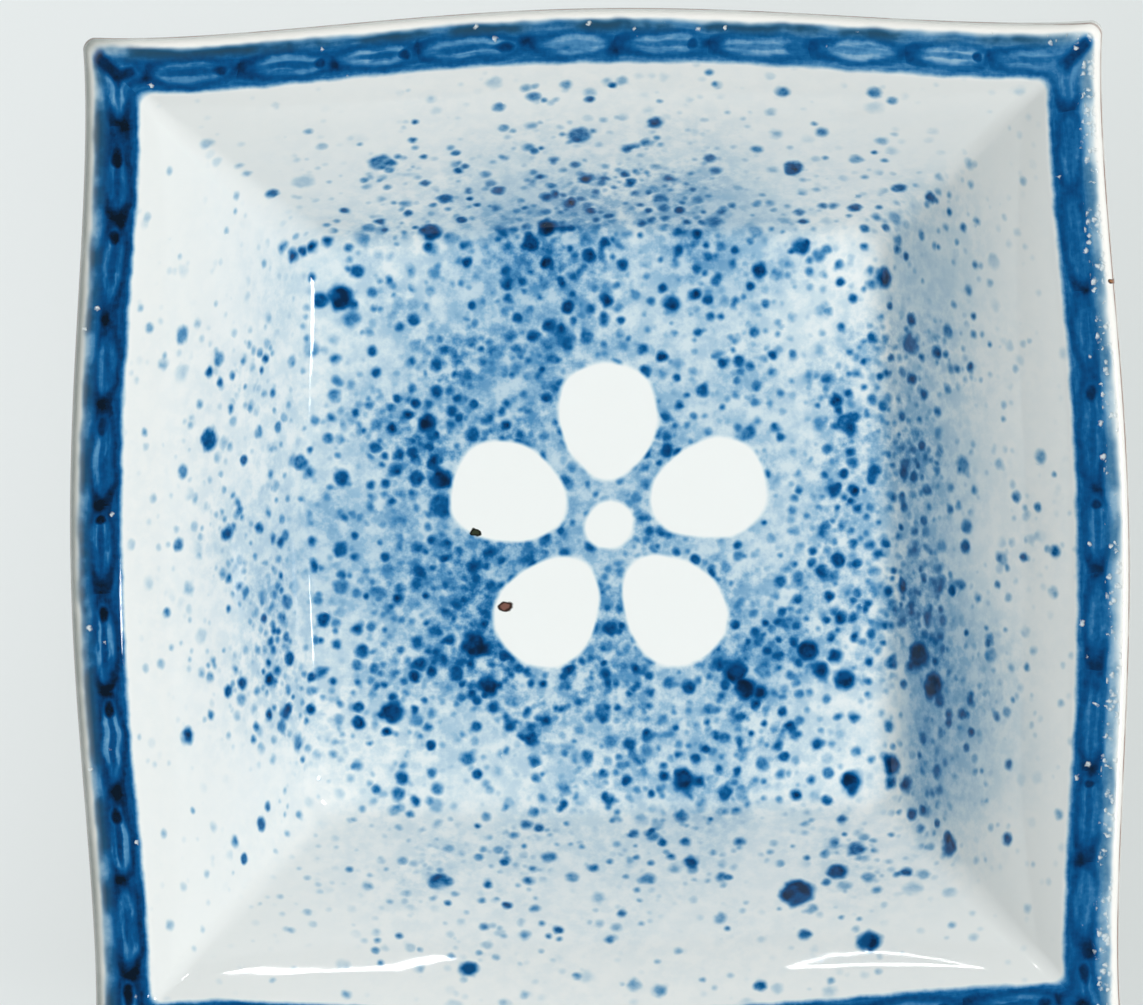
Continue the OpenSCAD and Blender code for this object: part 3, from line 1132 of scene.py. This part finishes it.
# Where flecks are many: size and span of their bunches, x and shares of the band's width at which
# they set in, shares of the cells with a fleck, and softness at the band's edges
PIT_BUNCH = 1.6
PIT_BUNCH_SPAN = (0.44, 0.54)
PIT_SIDE = (38.0, 44.0)
PIT_ACROSS = (0.6, 0.8)
PIT_SHARES = (0.01, 0.9)
PIT_EDGE = 0.3

# Skin of the glaze: index, depth and size of its unevenness, and size and span of its roughness
GLAZE_IOR = 1.5
SKIN_DEPTH = 0.006
SKIN_SIZE = 2.6
GLOSS_SIZE = 6.0
GLOSS = (0.02, 0.05)


def glaze(p, shade, roughness, normal):
    """Clear gloss over the shade."""
    p.put(p.surface.inputs["Base Color"], shade)
    p.put(p.surface.inputs["Roughness"], roughness)
    p.put(p.surface.inputs["Normal"], normal)
    p.surface.inputs["IOR"].default_value = GLAZE_IOR


def specks(p, shade, shown):
    """The shade with specks of iron, each with a darker rim."""
    place = p.stretched(p.wobbled(p.plan(), *SPECK_WOBBLE), SPECK_SQUASH)
    for x, y, radius, iron in SPECKS:
        middle = (SPECK_SQUASH[0] * x, SPECK_SQUASH[1] * y, 0.0)
        away = p.times(p.distance(place, middle), 1 / radius)
        rim = p.tint(p.step(away, *SPECK_RIM), colour(iron), colour(iron, SPECK_RIM_SHADE))
        shade = p.tint(p.times(p.step(away, *SPECK_EDGE), shown), shade, rim)
    return shade


def lip_line(p, shade, run, lip_edge):
    """The shade with a worn line of iron along the lip, and on the left a grey of stain and painted
    shade.
    """
    edge = p.minus(lip_edge, p.step(p.x, *SIDE_REACH, 0.0, IRON_SHIFT))
    from_edge = p.math("ABSOLUTE", p.minus(run, edge))
    worn = p.step(p.noise(p.spot, *WEAR), *WEAR_SPAN, *WEAR_SHARES)
    # Painted shade of the left lip's outer side, laid on together with a stain
    shade_stained = p.times(p.step(p.x, *SHADE_STAIN_SIDE), p.step(from_edge, *SHADE_STAIN_REACH))
    shade = p.tint(p.times(shade_stained, p.blend(worn, *SHADE_STAIN_COVER)), shade, colour(SHADE_STAIN))
    rust = p.times(p.step(from_edge, *IRON_EDGE), worn)
    return p.tint(p.times(rust, IRON_COVER), shade, colour(IRON))


def pits(p, across, width):
    """Flecks of pitted glaze over the painted band, also given a painted sparkle, most on the outer
    right.
    """
    cells = p.cells(p.wobbled(p.spot, *PIT_WOBBLE), PIT_CELL)
    _, luck, _ = p.split(cells.outputs["Color"])
    pit = p.step(p.times(cells.outputs["Distance"], PIT_CELL), PIT_R, PIT_FLAT * PIT_R)
    bunched = p.step(p.noise(p.spot, PIT_BUNCH), *PIT_BUNCH_SPAN)
    outer = p.step(across, *[share * width for share in PIT_ACROSS])
    many = p.times(p.step(p.x, *PIT_SIDE), outer, bunched)
    there = p.math("LESS_THAN", luck, p.blend(many, *PIT_SHARES))
    painted = p.times(p.step(across, 0.0, PIT_EDGE), p.step(across, width + PIT_EDGE, width))
    return p.times(pit, there, painted)


def painted_porcelain(band_start, band_end, lip_edge, drops):
    """Painted inside of the dish. Its places are lengths along the section, from the floor's middle."""
    p = Paint("painted_porcelain")
    run = p.node("Attribute", attribute_name="run").outputs["Fac"]
    inside = p.step(run, *[band_start + by for by in SPATTER_EDGE])
    blown = p.times(spatter(p, drops), p.rest(blossom(p)), inside)
    band_ink, cover, smear, across = band(p, run, band_start, band_end)
    shade = p.ramp(p.blend(cover, blown, band_ink), COBALT)
    shade = p.tint(p.times(cover, smear, SMEAR_COVER), shade, colour(SMEAR))
    on_lip = p.times(
        p.step(run, *[band_end + by for by in CREAM_START]),
        p.step(run, *[lip_edge + by for by in CREAM_END]),
    )
    shade = p.tint(p.times(on_lip, p.rest(cover)), shade, colour(CREAM))
    shade = specks(p, shade, p.math("LESS_THAN", run, lip_edge))
    shade = lip_line(p, shade, run, lip_edge)
    pits_and_sparkle = pits(p, across, band_end - band_start)
    # Painted sparkle: pale flecks that stand in for glints of light in the pits
    shade = p.tint(p.times(pits_and_sparkle, PIT_SPARKLE_COVER), shade, colour(PIT_SPARKLE))
    skin = p.minus(p.noise(p.spot, SKIN_SIZE), p.times(pits_and_sparkle, PIT_DEPTH / SKIN_DEPTH))
    gloss = p.blend(p.noise(p.spot, GLOSS_SIZE), *GLOSS)
    glaze(p, shade, gloss, p.bump(skin, SKIN_DEPTH))
    return p.material


# Foot: shades of thin glaze and of glaze that gathers under the base, its height and patches
FOOT_GLAZE = (240, 242, 240)
FOOT_GATHERED = (214, 228, 228)
GATHER_HEIGHT = 1.8
GATHER_SIZE = 9.0

# Bare clay of the foot: shade, darker grains, heights between which the glaze is wiped off, and
# size and amount of that edge's waves
BARE_CLAY = (226, 218, 204)
CLAY_DARKER = 0.93
CLAY_GRAIN = (0.5, 3.0)
WIPED = (0.9, 0.65)
WIPED_WAVE = 1.8
WIPED_BY = 0.35

# Skin of the foot: roughness of its glaze and of its clay, noises of both, and their depth
FOOT_GLOSS = (0.04, 0.08)
CLAY_ROUGHNESS = 0.75
FOOT_SKIN = (1.5, 3.0)
CLAY_SKIN = (0.25, 2.0)
FOOT_SKIN_DEPTH = 0.02


def plain_porcelain():
    """Glazed foot, wiped bare on the strip that it stands on."""
    p = Paint("plain_porcelain")
    gathered = p.times(p.step(p.z, FOOT_H - GATHER_HEIGHT, FOOT_H), p.noise(p.spot, GATHER_SIZE))
    shade = p.tint(gathered, colour(FOOT_GLAZE), colour(FOOT_GATHERED))
    bare = p.step(p.add(p.z, p.times(p.noise(p.spot, WIPED_WAVE), WIPED_BY)), *WIPED)
    clay = p.tint(p.noise(p.spot, *CLAY_GRAIN), colour(BARE_CLAY), colour(BARE_CLAY, CLAY_DARKER))
    skin = p.blend(bare, p.noise(p.spot, *FOOT_SKIN), p.noise(p.spot, *CLAY_SKIN))
    gloss = p.blend(p.noise(p.spot, GLOSS_SIZE), *FOOT_GLOSS)
    rough = p.blend(bare, gloss, CLAY_ROUGHNESS)
    glaze(p, p.tint(bare, shade, clay), rough, p.bump(skin, FOOT_SKIN_DEPTH))
    return p.material


def dish():
    """The shell with its painted and glazed coats."""
    rings = shell_rings()
    runs = section_run(rings)
    piece = lofted("dish", rings, closed=False)
    note_runs(piece, runs, len(rings[0]))
    add_bake_map(piece, rings, runs)
    band_places = [top_run(rings, runs, out) for out in BAND_MARKS]
    piece.data.materials.append(painted_porcelain(*band_places, on_top(piece, BIG_DROPS)))
    return piece


def foot():
    """The square foot ring under the base."""
    rings = [ring(p[0], p[1], 0, 0, p[0] - FOOT_CENTRE, 0) for p in foot_section()]
    piece = lofted("foot", rings, closed=True)
    piece.data.materials.append(plain_porcelain())
    return piece


# Pale floor: side in metres, shades at the upper left and the lower right, which paint a fall of
# light across it, how far from the middle those lie, the part that Y has in that fall, roughness,
# and the share that glows
FLOOR_SIDE = 4.0
FLOOR_LIGHT = (236, 241, 241)
FLOOR_DIM = (213, 218, 217)
FLOOR_FALL = 75.0
FLOOR_SLANT = 0.9
FLOOR_ROUGHNESS = 0.9
FLOOR_GLOW = 0.85

# Light from all sides: its shade and its strength
SKY_SHADE = (230, 251, 248)
SKY_LEVEL = 0.12

# Distance of the lamps in metres, and brightness of those that the glaze mirrors
LAMP_DISTANCE = 0.9
GLINT_LEVEL = 26.0

# Soft lamps: name, lean and azimuth in degrees, size in metres and level
SOFT_LAMPS = [
    ("overhead", 8.5, 71, (0.8, 0.8), 0.636),
    ("key", 35, -11.5, (0.2, 0.2), 0.43),
]

# Lamps that only the glaze mirrors: name, lean and azimuth in degrees, size in metres, and roll
GLINTS = [
    ("glint_left", 34.5, -6.6, (0.034, 0.17), 0),
    ("glint_corner", 37, 38, (0.1, 0.1), 0),
    ("glint_near_left", 80.4, 82.3, (0.012, 0.064), 33),
    ("glint_near_right", 77.0, 95.6, (0.031, 0.012), 0),
    ("glint_near_upper", 79.3, 95.2, (0.003, 0.0655), 16.3),
]


def stage_floor():
    """Pale floor, mostly a glow to the camera so that shadows stay light, with a painted fall of light.
    """
    bpy.ops.mesh.primitive_plane_add(size=FLOOR_SIDE)
    floor = bpy.context.object
    floor.name = "floor"
    p = Paint("floor")
    # Painted fall of light: the shade is lighter at the upper left and dimmer at the lower right
    down = p.minus(p.x, p.times(p.y, FLOOR_SLANT))
    fall = p.step(down, -FLOOR_FALL, FLOOR_FALL)
    shade = p.tint(fall, colour(FLOOR_LIGHT), colour(FLOOR_DIM))
    p.put(p.surface.inputs["Base Color"], shade)
    p.put(p.surface.inputs["Roughness"], FLOOR_ROUGHNESS)
    glow = p.node("Emission")
    p.put(glow.inputs["Color"], shade)
    path = p.node("LightPath")
    seen = p.largest(path.outputs["Is Camera Ray"], path.outputs["Is Glossy Ray"])
    mixed = p.node("MixShader")
    p.put(mixed.inputs[0], p.times(seen, FLOOR_GLOW))
    p.put(mixed.inputs[1], p.surface.outputs[0])
    p.put(mixed.inputs[2], glow.outputs[0])
    p.put(p.tree.nodes["Material Output"].inputs["Surface"], mixed.outputs[0])
    floor.data.materials.append(p.material)


def hung(name, lean, azimuth, size, power, mirrored, roll=0.0):
    """Lamp that faces the dish. Lean is in degrees from the vertical, and azimuth from +X."""
    lamp = bpy.data.lights.new(name, "AREA")
    lamp.shape = "RECTANGLE"
    lamp.size, lamp.size_y = size
    lamp.energy = power
    lean, azimuth = math.radians(lean), math.radians(azimuth)
    flat = math.sin(lean)
    towards = Vector((flat * math.cos(azimuth), flat * math.sin(azimuth), math.cos(lean)))
    holder = bpy.data.objects.new(name, lamp)
    holder.location = towards * LAMP_DISTANCE
    holder.rotation_mode = "QUATERNION"
    spin = Quaternion((0.0, 0.0, 1.0), math.radians(roll))
    holder.rotation_quaternion = towards.to_track_quat("Z", "Y") @ spin
    holder.visible_glossy = mirrored
    holder.visible_diffuse = not mirrored
    bpy.context.scene.collection.objects.link(holder)


def soft_lamp(name, lean, azimuth, size, level):
    """Lamp that the glaze doesn't mirror. White paper that faces it shows the level."""
    hung(name, lean, azimuth, size, level * (math.pi * LAMP_DISTANCE) ** 2, False)


def glint(name, lean, azimuth, size, roll):
    """Lamp that only the glaze mirrors."""
    hung(name, lean, azimuth, size, GLINT_LEVEL * math.pi * size[0] * size[1], True, roll)


def lights():
    """Two soft lamps, narrow ones that the glaze mirrors, and some light from all sides."""
    world = bpy.data.worlds.new("studio")
    bpy.context.scene.world = world
    world.use_nodes = True
    sky = world.node_tree.nodes["Background"]
    sky.inputs["Color"].default_value = colour(SKY_SHADE)
    sky.inputs["Strength"].default_value = SKY_LEVEL
    for lamp in SOFT_LAMPS:
        soft_lamp(*lamp)
    for lamp in GLINTS:
        glint(*lamp)


def camera():
    """Camera that looks at the aim from above, leaning and rolled a little."""
    lens = bpy.data.cameras.new("camera")
    lens.lens = CAMERA_LENS
    lens.sensor_width = CAMERA_SENSOR
    lens.clip_start, lens.clip_end = CAMERA_CLIP
    eye = bpy.data.objects.new("camera", lens)
    back = Vector((*CAMERA_LEAN, 1.0)).normalized()
    up = Vector((0.0, 1.0, 0.0))
    up = (up - back * up.dot(back)).normalized()
    right = up.cross(back)
    c, s = math.cos(CAMERA_ROLL), math.sin(CAMERA_ROLL)
    axes = (c * right + s * up, c * up - s * right, back)
    place = (Vector(CAMERA_AIM) + back * CAMERA_DISTANCE) * MM
    eye.matrix_world = Matrix.Translation(place) @ Matrix(axes).transposed().to_4x4()
    bpy.context.scene.collection.objects.link(eye)
    bpy.context.scene.camera = eye


for piece, node, slot in (
    (dish(), "dish_body", "painted_porcelain"),
    (foot(), "foot_ring", "foot_porcelain"),
):
    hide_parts(node)
    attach(piece, "root")

stage_floor()
lights()
camera()
bpy.context.scene.view_settings.view_transform = "Standard"
